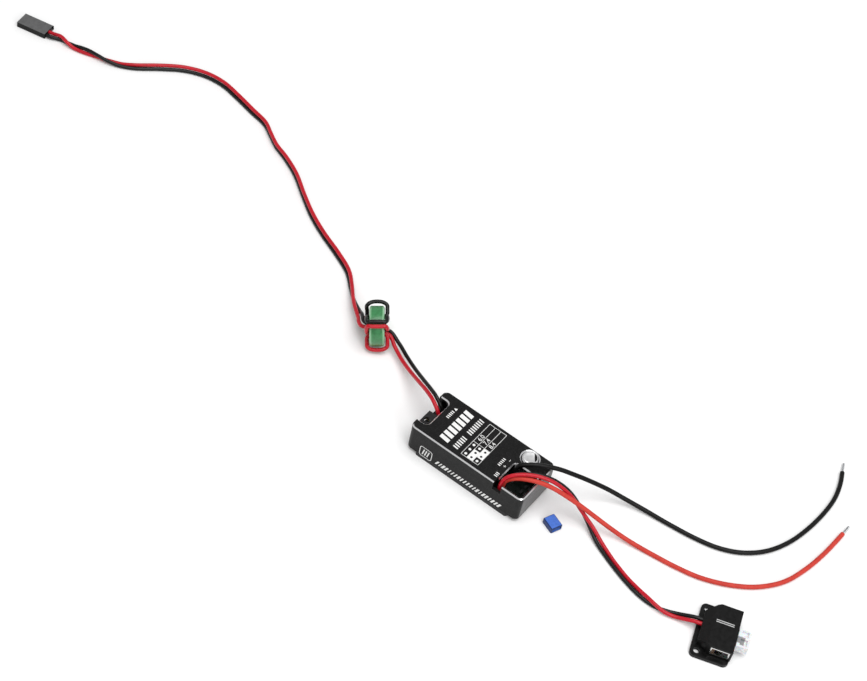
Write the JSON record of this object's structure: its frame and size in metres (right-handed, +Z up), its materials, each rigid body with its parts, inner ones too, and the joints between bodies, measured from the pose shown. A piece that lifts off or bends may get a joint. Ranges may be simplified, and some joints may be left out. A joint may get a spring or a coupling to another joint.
{
  "type": "voltage regulator",
  "caption": "Switch-mode voltage regulator in a black aluminium case, with a slide switch lead, battery leads and a servo-plug lead through a ferrite ring",
  "frame": {"origin": "middle of the case's underside, on the surface that everything lies on", "axes": "X along the case towards the input leads, Y across it, Z up"},
  "size_m": [0.4187, 0.1164, 0.0182],
  "materials": {
    "case_black": "black anodised, fine grained, bright cut edges",
    "base_black": "black anodised",
    "screw_steel": "black zinc plated",
    "pad_blue": "soft silicone sheet",
    "board_green": "green solder mask on glass-epoxy",
    "ferrite_grey": "moulded iron powder",
    "can_aluminium": "bright drawn can",
    "base_plastic": "moulded black",
    "chip_black": "moulded epoxy",
    "ceramic_tan": "fired, tinned ends",
    "gold_metal": "gold plated",
    "solder_metal": "tinned, soft sheen",
    "wire_crimson": "crimson, satin",
    "wire_orange_red": "orange-red silicone, dull",
    "wire_black": "black, satin",
    "ring_green": "green epoxy coat on ferrite",
    "plug_grey": "moulded dark grey",
    "switch_black": "moulded black, semi-gloss",
    "nickel_steel": "nickel plated sheet",
    "phenolic_brown": "laminated paper board",
    "brass_metal": "stamped sheet",
    "knob_white": "translucent white",
    "jumper_blue": "moulded blue"
  },
  "bodies": {
    "root": {"case_cover": "case_black", "base_plate": "base_black", "base_screws": "screw_steel", "thermal_pad": "pad_blue", "circuit_board": "board_green", "power_inductor": "ferrite_grey", "input_capacitor": "can_aluminium", "output_capacitor": "can_aluminium", "capacitor_bases": "base_plastic", "mosfets": "chip_black", "control_chip": "chip_black", "ceramic_capacitors": "ceramic_tan", "chip_resistors": "chip_black", "jumper_socket": "base_plastic", "header_base": "base_plastic", "header_pins": "gold_metal", "solder_joints": "solder_metal", "output_wire_red": "wire_crimson", "output_wire_black": "wire_black", "ferrite_ring": "ring_green", "plug_housing": "plug_grey", "plug_contacts": "gold_metal", "input_wire_red": "wire_orange_red", "input_wire_black": "wire_black", "tinned_end_red": "solder_metal", "tinned_end_black": "solder_metal", "switch_wire_red": "wire_crimson", "switch_wire_black": "wire_black", "switch_base": "switch_black", "switch_cover": "switch_black", "switch_frame": "nickel_steel", "switch_insulator": "phenolic_brown", "switch_terminals": "brass_metal"},
    "knob": {"switch_knob": "knob_white", "switch_wiper": "brass_metal"},
    "jumper": {"jumper_housing": "jumper_blue", "jumper_contact": "brass_metal"}
  },
  "joints": [
    {"name": "switch_slide", "type": "slide", "parent": "root", "child": "knob", "axis": [-0.3256, 0.9455, 0], "range_m": [0, 0.003]},
    {"name": "jumper_lift", "type": "slide", "parent": "root", "child": "jumper", "axis": [0, 0, 1], "range_m": [0, 0.03]}
  ]
}
